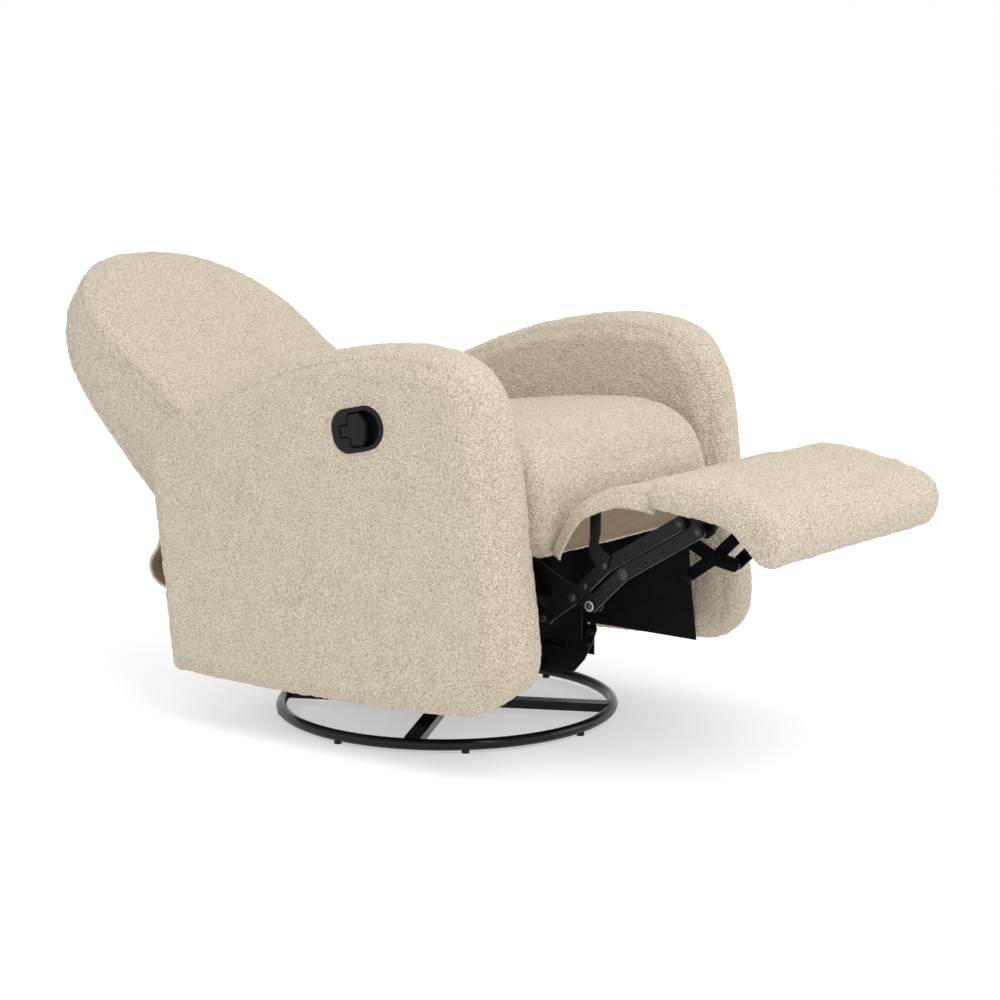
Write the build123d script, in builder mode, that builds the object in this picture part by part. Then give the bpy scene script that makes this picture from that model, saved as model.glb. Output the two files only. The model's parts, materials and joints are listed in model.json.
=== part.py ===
from build123d import *
import os
from math import atan2, cos, degrees, hypot, radians, sin

os.makedirs("parts", exist_ok=True)

# Swivel recliner, stored reclined with the footrest out.
# Frame: origin on the floor on the swivel axis, +Z up, the sitter faces -Y.
# Side-view points are (u, z): u is the distance in front of the swivel axis.

# ---------------------------------------------------------------- base
RING_OD = 600.0          # floor ring, outside diameter
TUBE_D = 19.0            # ring tube
FOOT_H = 4.5             # floor glide height
FOOT_R = 6.5
FOOT_COUNT = 8
SPOKE_W = 28.0
SPOKE_Z = (10.0, 25.0)
SPOKE_ANGLE = 27.5       # first spoke, degrees from +X
HUB_R = 75.0
HUB_Z = (25.0, 29.0)
SPINDLE_R = 12.0
RUN = 0.05               # running clearance on the radius
OPEN = 0.3               # clearance at a pivot left open in the joint tree
BALL_R = 4.0
BALL_PITCH_R = 44.0
BALL_COUNT = 16

# ---------------------------------------------------------------- glide
GLIDE_U = 150.0          # link pivots in front of and behind the axis
GLIDE_Z = (105.0, 215.0) # lower and upper pivot height
GLIDE_PIN_R = 6.0
RAIL_X = (170.0, 173.0)
GLIDE_LINK_X = (176.0, 180.0)
PLATE_X = (190.0, 193.0)

# ---------------------------------------------------------------- footrest linkage
LAYER_A = (196.0, 200.0)     # front links, rear links, ottoman brackets
LAYER_B = (202.2, 206.2)     # upper links
LAYER_C = (210.0, 214.0)     # lower links
LINK_HW = 11.0               # half width of the upper and lower links
PIN_R = 5.0
P2 = (213.2, 391.1)          # torque tube
UV = (201.4, 142.5)          # upper link, pivot to pivot
FV = (212.1, -99.6)          # front link, pivot to pivot, footrest out
WV = (-57.9, -40.7)          # rear link set back from the front link
D3 = (39.0, -7.0)           # lower link pivot beyond the front link's
TUBE_R = 10.0


def shifted(a, b):
    return (a[0] + b[0], a[1] + b[1])


P1 = shifted(P2, WV)
Q2 = shifted(P2, FV)
Q1 = shifted(Q2, WV)
Q3 = shifted(Q2, D3)
S1 = shifted(Q2, UV)
S2 = shifted(Q3, UV)
BEND = (61.7, 58.5)          # bend of the upper and lower links, from the front link's pivot
M2 = shifted(Q2, BEND)
M3 = shifted(Q3, BEND)

# ---------------------------------------------------------------- body of the chair
ARM_X = (258.0, 364.0)
ARM_TOP = [(-298, 99), (-310, 172), (-321, 246), (-345, 386), (-353, 440), (-346, 485), (-318, 522),
           (-200, 591), (-68, 643), (44, 673), (161, 689), (245, 686), (315, 666), (359, 630),
           (382, 584), (393, 530), (402, 442), (420, 279), (427, 211), (420, 171), (399, 139),
           (359, 110), (300, 99)]
ARM_ROUND = 28.0
SEAT_HW = 250.0
HINGE = (-270.0, 455.0)      # recline hinge
BACK_H = (-408.0, 320.0)     # point on the rear plane of the back
BACK_REAR = 43.5             # rear plane, degrees from upright
BACK_FRONT = 56.25           # front plane, degrees from upright
BACK_T = 187.0               # distance of the front plane from BACK_H
BACK_HW = 252.0
BACK_ARCH_S = 289.0          # where the arch starts
BACK_TOP_S = 528.0           # top of the arch
BACK_ARCH_E = 0.82
OTTO_HW = 250.0


def flat(points):
    return [(-u, z) for u, z in points]


def side_face(points, x0):
    with BuildSketch(Plane.YZ.offset(x0), mode=Mode.PRIVATE) as sk:
        with BuildLine():
            Polyline(*flat(points), close=True)
        make_face()
    return sk.sketch


def strap_face(a, b, half_width, x0):
    (ay, az), (by, bz) = flat([a, b])
    with BuildSketch(Plane.YZ.offset(x0), mode=Mode.PRIVATE) as sk:
        with Locations(((ay + by) / 2, (az + bz) / 2)):
            SlotCenterToCenter(hypot(by - ay, bz - az), 2 * half_width,
                               rotation=degrees(atan2(bz - az, by - ay)))
    return sk.sketch


def rod(point, radius, x0, x1, mode=Mode.ADD):
    with Locations(((x0 + x1) / 2, -point[0], point[1])):
        Cylinder(radius, abs(x1 - x0), rotation=(0, 90, 0), mode=mode)


def block(u0, u1, x0, x1, z0, z1, mode=Mode.ADD):
    with Locations(((x0 + x1) / 2, -(u0 + u1) / 2, (z0 + z1) / 2)):
        Box(abs(x1 - x0), abs(u1 - u0), abs(z1 - z0), mode=mode)


def save(piece, name):
    piece.part.label = name
    export_step(piece.part, "parts/" + name + ".step")


# ================================================================ base
ring_r = (RING_OD - TUBE_D) / 2
ring_z = FOOT_H + TUBE_D / 2

with BuildPart() as base_ring:
    with Locations((0, 0, ring_z)):
        Torus(ring_r, TUBE_D / 2)
save(base_ring, "base_ring")

# One full bar and two half bars butted on it, coped to the ring tube.
with BuildPart() as base_spokes:
    with BuildSketch(Plane.XY.offset(SPOKE_Z[0])):
        Rectangle(2 * (ring_r - 3), SPOKE_W, rotation=SPOKE_ANGLE)
    extrude(amount=SPOKE_Z[1] - SPOKE_Z[0])
    with BuildSketch(Plane.XY.offset(SPOKE_Z[0])):
        half = ring_r - 3 - SPOKE_W / 2 - 0.02
        mid = SPOKE_W / 2 + 0.02 + half / 2
        with PolarLocations(mid, 2, start_angle=SPOKE_ANGLE + 90):
            Rectangle(half, SPOKE_W)
    extrude(amount=SPOKE_Z[1] - SPOKE_Z[0])
    with Locations((0, 0, ring_z)):
        Torus(ring_r, TUBE_D / 2 + RUN, mode=Mode.SUBTRACT)
save(base_spokes, "base_spokes")

with BuildPart() as base_feet:
    with BuildSketch():
        with PolarLocations(ring_r, FOOT_COUNT):
            Circle(FOOT_R)
    extrude(amount=FOOT_H + 2.5)
    with Locations((0, 0, ring_z)):
        Torus(ring_r, TUBE_D / 2 + RUN, mode=Mode.SUBTRACT)
save(base_feet, "base_feet")

with BuildPart() as base_hub:
    with BuildSketch(Plane.XY.offset(HUB_Z[0])):
        Circle(HUB_R)
    extrude(amount=HUB_Z[1] - HUB_Z[0])
    with BuildSketch(Plane.XY.offset(HUB_Z[1])):
        Circle(22)
        Circle(SPINDLE_R + RUN, mode=Mode.SUBTRACT)
    extrude(amount=31)
    chamfer(base_hub.edges().group_by(Axis.Z)[-1], 1.5)
save(base_hub, "base_hub")

with BuildPart() as bearing_race_lower:
    with BuildSketch(Plane.XY.offset(29.0)):
        Circle(60)
        Circle(26, mode=Mode.SUBTRACT)
    extrude(amount=3)
save(bearing_race_lower, "bearing_race_lower")

with BuildPart() as bearing_balls:
    with PolarLocations(BALL_PITCH_R, BALL_COUNT):
        with Locations((0, 0, 32.02 + BALL_R)):
            Sphere(BALL_R)
save(bearing_balls, "bearing_balls")

with BuildPart() as bearing_cage:
    with BuildSketch(Plane.XY.offset(35.2)):
        Circle(53)
        Circle(35, mode=Mode.SUBTRACT)
        with PolarLocations(BALL_PITCH_R, BALL_COUNT):
            Circle(BALL_R + 0.2, mode=Mode.SUBTRACT)
    extrude(amount=1.6)
save(bearing_cage, "bearing_cage")

# ================================================================ swivel
with BuildPart() as bearing_race_upper:
    with BuildSketch(Plane.XY.offset(40.5)):
        Circle(60)
        Circle(26, mode=Mode.SUBTRACT)
    extrude(amount=3)
save(bearing_race_upper, "bearing_race_upper")

with BuildPart() as swivel_plate:
    with BuildSketch(Plane.XY.offset(43.5)):
        Circle(84)
        Circle(26, mode=Mode.SUBTRACT)
    extrude(amount=4)
save(swivel_plate, "swivel_plate")

with BuildPart() as glide_cross_members:
    for s in (-1, 1):
        block(s * 40, s * 80, -RAIL_X[0], RAIL_X[0], 47.5, 67.5)
    fillet(glide_cross_members.edges().filter_by(Axis.X), 3)
save(glide_cross_members, "glide_cross_members")

with BuildPart() as spindle_bridge:
    block(-80, 80, -38, 38, 67.5, 71.5)
    fillet(spindle_bridge.edges().filter_by(Axis.Z), 10)
save(spindle_bridge, "spindle_bridge")

with BuildPart() as swivel_spindle:
    with BuildSketch(Plane.XY.offset(29.6)):
        Circle(SPINDLE_R)
    extrude(amount=67.5 - 29.6)
    chamfer(swivel_spindle.edges().group_by(Axis.Z)[0], 1.5)
save(swivel_spindle, "swivel_spindle")

# Boat-shaped side rails with an upright at each end for the link pivots.
rail_front = [(110, 48), (152, 58), (174, 82), (190, 112), (200, 140), (196, 152), (186, 150), (176, 128), (168, 112),
              (168, 226), (160, 236), (140, 236), (132, 226), (132, 98)]
rail_outline = rail_front + [(-132, 98), (-132, 226), (-140, 236), (-160, 236), (-168, 226), (-168, 104),
                             (-186, 96), (-190, 70), (-176, 48)]
with BuildPart() as glide_base_rails:
    extrude(side_face(rail_outline, RAIL_X[0]), amount=RAIL_X[1] - RAIL_X[0])
    for u in (-GLIDE_U, GLIDE_U):
        rod((u, GLIDE_Z[1]), GLIDE_PIN_R, RAIL_X[0] - 1, RAIL_X[1] + 1, Mode.SUBTRACT)
    for p in ((188.5, 134), (181, 113)):
        rod(p, 4, RAIL_X[0] - 1, RAIL_X[1] + 1, Mode.SUBTRACT)
    mirror(about=Plane.YZ)
save(glide_base_rails, "glide_base_rails")

# Two bolts near each front end of the rails.
with BuildPart() as rail_bolts:
    for p in ((188.5, 134), (181, 113)):
        rod(p, 4, RAIL_X[0], RAIL_X[1])
        rod(p, 8, RAIL_X[0] - 1.5, RAIL_X[0])
        rod(p, 6.5, RAIL_X[0] - 7, RAIL_X[0] - 1.5)
    mirror(about=Plane.YZ)
save(rail_bolts, "rail_bolts")

with BuildPart() as glide_upper_pins:
    for u in (-GLIDE_U, GLIDE_U):
        c = (u, GLIDE_Z[1])
        rod(c, GLIDE_PIN_R + 3, RAIL_X[0] - 3, RAIL_X[0])
        rod(c, GLIDE_PIN_R, RAIL_X[0], GLIDE_LINK_X[1] + 0.4)
        rod(c, GLIDE_PIN_R + 4, RAIL_X[1], GLIDE_LINK_X[0] - 0.2)
        rod(c, GLIDE_PIN_R + 3, GLIDE_LINK_X[1] + 0.4, GLIDE_LINK_X[1] + 3.4)
    mirror(about=Plane.YZ)
save(glide_upper_pins, "glide_upper_pins")

# ================================================================ glide links
for name, u, lower in (("glide_links_front", GLIDE_U, RUN), ("glide_links_rear", -GLIDE_U, OPEN)):
    with BuildPart() as glide_links:
        extrude(strap_face((u, GLIDE_Z[0]), (u, GLIDE_Z[1]), 13, GLIDE_LINK_X[0]),
                amount=GLIDE_LINK_X[1] - GLIDE_LINK_X[0])
        rod((u, GLIDE_Z[1]), GLIDE_PIN_R + RUN, GLIDE_LINK_X[0] - 1, GLIDE_LINK_X[1] + 1, Mode.SUBTRACT)
        rod((u, GLIDE_Z[0]), GLIDE_PIN_R + lower, GLIDE_LINK_X[0] - 1, GLIDE_LINK_X[1] + 1, Mode.SUBTRACT)
        mirror(about=Plane.YZ)
    save(glide_links, name)

# ================================================================ chassis
plate_outline = [(-180, 88), (180, 88), (180, 128), (140, 168),
                 (140, 290), (196, 330), (240, 368), (240, 440), (160, 440), (-236, 440), (-236, 407),
                 (-250, 420), (-254, 452), (-258, 465), (-270, 471), (-282, 465), (-286, 455), (-284, 432),
                 (-262, 380), (-200, 306), (-130, 290), (-130, 168), (-180, 128)]
with BuildPart() as mech_side_plates:
    extrude(side_face(plate_outline, PLATE_X[0]), amount=PLATE_X[1] - PLATE_X[0])
    for window in ([(-80, 180), (-8, 180), (-8, 272), (-54, 272), (-80, 246)],
                   [(12, 180), (88, 180), (88, 246), (62, 272), (12, 272)]):
        extrude(side_face(window, PLATE_X[0]), amount=PLATE_X[1] - PLATE_X[0], mode=Mode.SUBTRACT)
    rod(P2, TUBE_R + RUN, PLATE_X[0] - 1, PLATE_X[1] + 1, Mode.SUBTRACT)
    rod(P1, PIN_R, PLATE_X[0] - 1, PLATE_X[1] + 1, Mode.SUBTRACT)
    rod(HINGE, PIN_R + 1, PLATE_X[0] - 1, PLATE_X[1] + 1, Mode.SUBTRACT)
    for u in (-GLIDE_U, GLIDE_U):
        rod((u, GLIDE_Z[0]), GLIDE_PIN_R, PLATE_X[0] - 1, PLATE_X[1] + 1, Mode.SUBTRACT)
    mirror(about=Plane.YZ)
save(mech_side_plates, "mech_side_plates")

with BuildPart() as glide_lower_pins:
    for u in (-GLIDE_U, GLIDE_U):
        c = (u, GLIDE_Z[0])
        rod(c, GLIDE_PIN_R, GLIDE_LINK_X[0] - 0.4, PLATE_X[1])
        rod(c, GLIDE_PIN_R + 4, GLIDE_LINK_X[1] + 0.2, PLATE_X[0])
        rod(c, GLIDE_PIN_R + 2, GLIDE_LINK_X[0] - 2.4, GLIDE_LINK_X[0] - 0.4)
    mirror(about=Plane.YZ)
save(glide_lower_pins, "glide_lower_pins")

# Shoulder rivets of the rear links.
with BuildPart() as rivets_side_plate:
    rod(P1, 9, PLATE_X[0] - 3, PLATE_X[0])
    rod(P1, PIN_R, PLATE_X[0], LAYER_A[1] + 0.4)
    rod(P1, 9, PLATE_X[1], LAYER_A[0] - 0.2)
    rod(P1, 9, LAYER_A[1] + 0.4, LAYER_A[1] + 3.2)
    mirror(about=Plane.YZ)
save(rivets_side_plate, "rivets_side_plate")

with BuildPart() as recline_pins:
    rod(HINGE, 10, PLATE_X[0] - 3, PLATE_X[0])
    rod(HINGE, PIN_R + 1, PLATE_X[0], LAYER_A[1] + 0.4)
    rod(HINGE, 10, PLATE_X[1], LAYER_A[0] - 0.2)
    rod(HINGE, 10, LAYER_A[1] + 0.4, LAYER_A[1] + 3.4)
    mirror(about=Plane.YZ)
save(recline_pins, "recline_pins")

# Seat frame: two side rails and three cross rails, butted.
with BuildPart() as seat_frame:
    for s in (-1, 1):
        block(-235, 318, s * 164, s * 189.9, 404.5, 440)
    for u in (-235, 60, 298):
        block(u, u + 20, -163.9, 163.9, 404.5, 440)
save(seat_frame, "seat_frame")

# Zigzag wire springs over the seat frame.
with BuildPart() as seat_springs:
    for x in (-120, -60, 0, 60, 120):
        zig = [(x, 226, 441.8)]
        for k in range(16):
            zig.append((x + (18 if k % 2 else -18), 210 - k * 33, 441.8))
        zig.append((x, 210 - 15 * 33 - 16, 441.8))
        with BuildLine() as wire:
            FilletPolyline(*zig, radius=7)
        with BuildSketch(Plane(origin=wire.line @ 0, z_dir=wire.line % 0)):
            Circle(1.6)
        sweep(path=wire.line)
save(seat_springs, "seat_springs")

seat_section = [(-238, 412), (-238, 478), (-226, 492), (-161, 503), (64, 535), (192, 548), (250, 549), (300, 543),
                (345, 527), (372, 500), (386, 462), (391, 425), (390, 390), (384, 362), (372, 355), (350, 358),
                (330, 370), (322, 412)]
with BuildPart() as seat_cushion:
    extrude(side_face(seat_section, -SEAT_HW), amount=2 * SEAT_HW)
    block(-239, 320.2, -194.5, 194.5, 400, 446, Mode.SUBTRACT)
save(seat_cushion, "seat_cushion")

# Angle brackets from the side plates to the arms.
with BuildPart() as arm_brackets:
    for u in (10, -200):
        block(u, u + 44, PLATE_X[1], PLATE_X[1] + 3, 310, 365)
        block(u, u + 44, PLATE_X[1] + 3, 252.8, 310, 314)
        block(u, u + 44, 252.8, 255.8, 310, 365)
    mirror(about=Plane.YZ)
save(arm_brackets, "arm_brackets")

arm_core = [(-274, 152), (-290, 246), (-314, 386), (-318, 448), (-300, 490), (-190, 556), (-58, 608), (50, 636),
            (160, 650), (240, 646), (300, 628), (332, 600), (350, 560), (360, 500), (372, 400), (386, 279),
            (388, 222), (378, 196), (360, 176), (334, 162), (300, 152)]
arm_bottom = [(240, 95), (100, 91), (-60, 91), (-175, 94)]


def arm_outline(x0):
    with BuildSketch(Plane.YZ.offset(x0), mode=Mode.PRIVATE) as sk:
        with BuildLine():
            Spline(*flat(ARM_TOP))
            Spline(*flat([ARM_TOP[-1]] + arm_bottom + [ARM_TOP[0]]))
        make_face()
    return sk.sketch


# The recess of the release latch, in the outer face of the sitter's right arm.
LATCH = (118.0, 551.0)
LATCH_TILT = 7.0
LATCH_A, LATCH_B = 53.0, 37.0
latch_plane = Plane(origin=(-ARM_X[1], -LATCH[0], LATCH[1]),
                    x_dir=(0, -cos(radians(LATCH_TILT)), sin(radians(LATCH_TILT))), z_dir=(-1, 0, 0))

for name, side in (("left", 1), ("right", -1)):
    x_in, x_out = side * ARM_X[0], side * ARM_X[1]
    with BuildPart() as arm_pad:
        extrude(arm_outline(x_in), amount=x_out - x_in)
        fillet(arm_pad.faces().filter_by(Axis.X).sort_by(Axis.X)[-1 if side > 0 else 0].edges(), ARM_ROUND)
        extrude(side_face(arm_core, side * 262.0), amount=side * 18.2, mode=Mode.SUBTRACT)
        block(-250, 285, side * 262.0, side * 280.2, 80, 154, Mode.SUBTRACT)
        if side < 0:
            with BuildSketch(latch_plane.offset(4)):
                Ellipse(LATCH_A - 3.5, LATCH_B - 3.5)
            extrude(amount=-40, mode=Mode.SUBTRACT)
    save(arm_pad, "arm_pad_" + name)

    with BuildPart() as arm_frame:
        extrude(side_face(arm_core, side * 262.1), amount=side * 18)
    save(arm_frame, "arm_frame_" + name)

    with BuildPart() as arm_liner:
        extrude(side_face([(-262, 127), (-282, 246), (-292, 320), (332, 320), (338, 245), (344, 197), (353, 128)],
                          side * 256.2), amount=side * 1.6)
    save(arm_liner, "arm_liner_" + name)

# Oval bezel: a rim on the fabric and a cup behind it.
with BuildPart() as latch_bezel:
    with BuildSketch(latch_plane):
        Ellipse(LATCH_A, LATCH_B)
    extrude(amount=2.5)
    with BuildSketch(latch_plane):
        Ellipse(LATCH_A - 4, LATCH_B - 4)
    extrude(amount=-32)
    with BuildSketch(latch_plane.offset(2.5)):
        Ellipse(LATCH_A - 7, LATCH_B - 7)
    extrude(amount=-32.5, mode=Mode.SUBTRACT)
    fillet(latch_bezel.edges().group_by(SortBy.LENGTH)[-1], 1.0)
save(latch_bezel, "latch_bezel")

# Lever: a narrow pivot end and a wide paddle, with finger room in front of it.
PIVOT_L = -30.0              # pivot, along the bezel from its centre
lever_plane = latch_plane.offset(-14)
with BuildPart() as latch_lever:
    with BuildSketch(lever_plane):
        with Locations((PIVOT_L, 0)):
            Circle(8)
        with Locations((PIVOT_L + 18, 0)):
            Rectangle(36, 15)
        with Locations((4, 0)):
            RectangleRounded(24, 40, 5)
    extrude(amount=9)
    fillet(latch_lever.faces().sort_by(Axis.X)[0].edges(), 2.5)
    with Locations(lever_plane.location):
        with Locations((PIVOT_L, 0, 4.0)):
            Cylinder(2.0 + RUN, 60, rotation=(90, 0, 0), mode=Mode.SUBTRACT)
save(latch_lever, "latch_lever")

with BuildPart() as latch_pin:
    with Locations(lever_plane.location):
        with Locations((PIVOT_L, 0, 4.0)):
            Cylinder(2.0, 43, rotation=(90, 0, 0))
save(latch_pin, "latch_pin")

with BuildPart() as rear_apron:
    extrude(side_face([(-268, 112), (-288, 240), (-266, 240), (-246, 112)], -255.8), amount=511.6)
save(rear_apron, "rear_apron")

# Soft sheets that change shape: the flap in front of the seat and the skirt under the back.
with BuildPart() as seat_front_flap:
    extrude(side_face([(391.5, 373.5), (405.5, 398.6), (422.6, 425.9), (442.2, 448.5), (464.7, 463.7), (494.9, 478.8),
                       (524.2, 488.9), (555.6, 495), (585.8, 498), (586.2, 492), (556.4, 489), (525.8, 483.1),
                       (497.1, 473.2), (467.3, 458.3), (445.8, 443.5), (427.4, 422.1), (410.5, 395.4), (396.5, 370.5)],
                      -232), amount=464)
save(seat_front_flap, "seat_front_flap")

with BuildPart() as rear_skirt:
    extrude(side_face([(-452, 362), (-444, 310), (-428, 262), (-386, 224), (-292, 206), (-290, 212), (-383, 230),
                       (-422, 266), (-438, 311), (-446, 358)], -232), amount=464)
save(rear_skirt, "rear_skirt")

# ================================================================ footrest linkage
with BuildPart() as torque_tube:
    rod(P2, TUBE_R, -LAYER_A[0], LAYER_A[0])
    rod(P2, 6.0, -LAYER_A[0] - 1, LAYER_A[0] + 1, Mode.SUBTRACT)
save(torque_tube, "torque_tube")

with BuildPart() as torque_tube_bolts:
    rod(P2, 6.0, 170, LAYER_A[1])
    rod(P2, 10, LAYER_A[1], LAYER_A[1] + 3)
    mirror(about=Plane.YZ)
save(torque_tube_bolts, "torque_tube_bolts")

with BuildPart() as footrest_front_links:
    for a, b in ((P2, Q2), (Q2, Q3)):
        extrude(strap_face(a, b, 12.5, LAYER_A[0]), amount=LAYER_A[1] - LAYER_A[0])
    rod(P2, 6.0, LAYER_A[0] - 1, LAYER_A[1] + 1, Mode.SUBTRACT)
    for p in (Q2, Q3):
        rod(p, PIN_R, LAYER_A[0] - 1, LAYER_A[1] + 1, Mode.SUBTRACT)
    mirror(about=Plane.YZ)
save(footrest_front_links, "footrest_front_links")

with BuildPart() as footrest_rear_links:
    extrude(strap_face(P1, Q1, 12.5, LAYER_A[0]), amount=LAYER_A[1] - LAYER_A[0])
    rod(P1, PIN_R + RUN, LAYER_A[0] - 1, LAYER_A[1] + 1, Mode.SUBTRACT)
    rod(Q1, PIN_R, LAYER_A[0] - 1, LAYER_A[1] + 1, Mode.SUBTRACT)
    mirror(about=Plane.YZ)
save(footrest_rear_links, "footrest_rear_links")

with BuildPart() as footrest_upper_links:
    for a, b in ((Q1, Q2), (Q2, M2), (M2, S1)):
        extrude(strap_face(a, b, LINK_HW, LAYER_B[0]), amount=LAYER_B[1] - LAYER_B[0])
    rod(Q1, PIN_R + OPEN, LAYER_B[0] - 1, LAYER_B[1] + 1, Mode.SUBTRACT)
    for p in (Q2, S1):
        rod(p, PIN_R + RUN, LAYER_B[0] - 1, LAYER_B[1] + 1, Mode.SUBTRACT)
    mirror(about=Plane.YZ)
save(footrest_upper_links, "footrest_upper_links")

# Angle straps on the upper links that hold up the flap in front of the seat.
with BuildPart() as flap_brackets:
    extrude(side_face([(459, 446), (479, 446), (478, 400), (474, 386), (482, 376), (499, 366), (492, 351), (474, 345),
                       (460, 362), (456, 376), (459, 392)], LAYER_B[1]), amount=3)
    block(459, 479, LAYER_B[1], LAYER_B[1] + 20, 443, 446)
    mirror(about=Plane.YZ)
save(flap_brackets, "flap_brackets")

with BuildPart() as footrest_lower_links:
    for a, b in ((Q3, M3), (M3, S2)):
        extrude(strap_face(a, b, LINK_HW, LAYER_C[0]), amount=LAYER_C[1] - LAYER_C[0])
    rod(Q3, PIN_R + RUN, LAYER_C[0] - 1, LAYER_C[1] + 1, Mode.SUBTRACT)
    rod(S2, PIN_R + OPEN, LAYER_C[0] - 1, LAYER_C[1] + 1, Mode.SUBTRACT)
    for k in (0.3, 0.52):
        rod((M3[0] + (S2[0] - M3[0]) * k, M3[1] + (S2[1] - M3[1]) * k), 2.5, LAYER_C[0] - 1, LAYER_C[1] + 1,
            Mode.SUBTRACT)
    mirror(about=Plane.YZ)
save(footrest_lower_links, "footrest_lower_links")

for name, points in (("rivets_front_links", ((Q2, LAYER_B), (Q3, LAYER_C))), ("rivets_rear_links", ((Q1, LAYER_B),)),
                     ("rivets_ottoman", ((S1, LAYER_B), (S2, LAYER_C)))):
    with BuildPart() as rivets:
        for p, layer in points:
            rod(p, 8.5, LAYER_A[0] - 2.4, LAYER_A[0])
            rod(p, PIN_R, LAYER_A[0], layer[1] + 0.4)
            rod(p, 8.5, LAYER_A[1], layer[0] - 0.2)
            rod(p, 8.5, layer[1] + 0.4, layer[1] + 3.2)
        mirror(about=Plane.YZ)
    save(rivets, name)

# ================================================================ ottoman
otto_section = [(596, 493), (605, 503), (620, 507), (707, 489), (790, 471), (812, 464), (823, 450), (823, 428),
                (818, 405), (806, 392), (790, 394), (772, 408), (745, 432), (715, 447), (690, 450), (664, 452),
                (606, 462), (594, 474)]
board_section = [(630, 462), (720, 450), (722, 461), (632, 473)]
with BuildPart() as ottoman_pad:
    extrude(side_face(otto_section, -OTTO_HW), amount=2 * OTTO_HW)
    extrude(side_face([(628, 430), (719, 430), (720.3, 449.5), (722.3, 461.4), (631.6, 473.4), (628.6, 455)],
                      -225.2), amount=450.4, mode=Mode.SUBTRACT)
save(ottoman_pad, "ottoman_pad")

with BuildPart() as ottoman_board:
    extrude(side_face(board_section, -225), amount=450)
save(ottoman_board, "ottoman_board")

with BuildPart() as ottoman_brackets:
    extrude(side_face([(614, 440), (614, 427), (622, 421.5), (640, 418), (656, 414.5), (674, 414.5), (684, 422), (692, 438),
                       (716, 446.8), (716, 450.4), (634, 461.3), (631, 458), (620, 446)], LAYER_A[0]),
            amount=LAYER_A[1] - LAYER_A[0])
    extrude(side_face([(634, 457.7), (716, 446.8), (716, 450.4), (634, 461.3)], LAYER_A[0] - 26), amount=26)
    for p in (S1, S2):
        rod(p, PIN_R, LAYER_A[0] - 1, LAYER_A[1] + 1, Mode.SUBTRACT)
    mirror(about=Plane.YZ)
save(ottoman_brackets, "ottoman_brackets")

# ================================================================ back
wr = (-sin(radians(BACK_REAR)), cos(radians(BACK_REAR)))
nr = (cos(radians(BACK_REAR)), sin(radians(BACK_REAR)))
wf = (-sin(radians(BACK_FRONT)), cos(radians(BACK_FRONT)))
nf = (cos(radians(BACK_FRONT)), sin(radians(BACK_FRONT)))


def on_rear(s, t=0.0):
    return (BACK_H[0] + wr[0] * s + nr[0] * t, BACK_H[1] + wr[1] * s + nr[1] * t)


def on_front(s):
    return (BACK_H[0] + wf[0] * s + nf[0] * BACK_T, BACK_H[1] + wf[1] * s + nf[1] * BACK_T)


back_rb = on_rear(-19.3)     # bottom of the rear plane
back_fb = (-301.0, 474.0)    # bottom of the front plane


def bottom(t):
    """Point on the bottom face of the back, t mm in front of the rear plane."""
    ex, ez = back_fb[0] - back_rb[0], back_fb[1] - back_rb[1]
    k = t / (ex * nr[0] + ez * nr[1])
    return (back_rb[0] + k * ex, back_rb[1] + k * ez)


def arch_face(half_width, s_arch, s_top, s_low):
    """Arched outline of the back, square to its mid plane."""
    a = radians((BACK_REAR + BACK_FRONT) / 2)
    plane = Plane(origin=(0, -BACK_H[0], BACK_H[1]), x_dir=(1, 0, 0), z_dir=(0, -cos(a), sin(a)))
    top = []
    for k in range(-6, 7):
        t = radians(15 * k)
        sx = abs(sin(t)) ** BACK_ARCH_E * (1 if k > 0 else -1)
        top.append((half_width * sx, s_arch + (s_top - s_arch) * abs(cos(t)) ** BACK_ARCH_E))
    top[0], top[-1] = (-half_width, s_arch), (half_width, s_arch)
    with BuildSketch(plane, mode=Mode.PRIVATE) as sk:
        with BuildLine():
            Spline(*top, tangents=((0, 1), (0, -1)))
            Polyline((half_width, s_arch), (half_width, s_low), (-half_width, s_low), (-half_width, s_arch))
        make_face()
    return sk.sketch


COVER_T = 34.0               # rear cover, with the board let into it
BOARD_T = 16.0

with BuildPart() as back_cushion:
    extrude(side_face([bottom(COVER_T + 0.1), back_fb, on_front(560), on_rear(600, COVER_T + 0.1)], -BACK_HW),
            amount=2 * BACK_HW)
    extrude(arch_face(BACK_HW, BACK_ARCH_S, BACK_TOP_S, -120), amount=400, both=True, mode=Mode.INTERSECT)
save(back_cushion, "back_cushion")

# Board and the pocket it sits in, let into the front of the rear cover.
with BuildPart() as back_pocket:
    extrude(side_face([on_rear(10, COVER_T - BOARD_T - 0.2), on_rear(10, COVER_T + 2), on_rear(600, COVER_T + 2),
                       on_rear(600, COVER_T - BOARD_T - 0.2)], -BACK_HW), amount=2 * BACK_HW)
    extrude(arch_face(BACK_HW - 30, BACK_ARCH_S, BACK_TOP_S - 32, -120), amount=400, both=True, mode=Mode.INTERSECT)

with BuildPart() as back_board:
    extrude(side_face([on_rear(10.2, COVER_T - BOARD_T), on_rear(10.2, COVER_T), on_rear(600, COVER_T),
                       on_rear(600, COVER_T - BOARD_T)], -BACK_HW), amount=2 * BACK_HW)
    extrude(arch_face(BACK_HW - 30.2, BACK_ARCH_S, BACK_TOP_S - 32.3, -120), amount=400, both=True,
            mode=Mode.INTERSECT)
save(back_board, "back_board")

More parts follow.
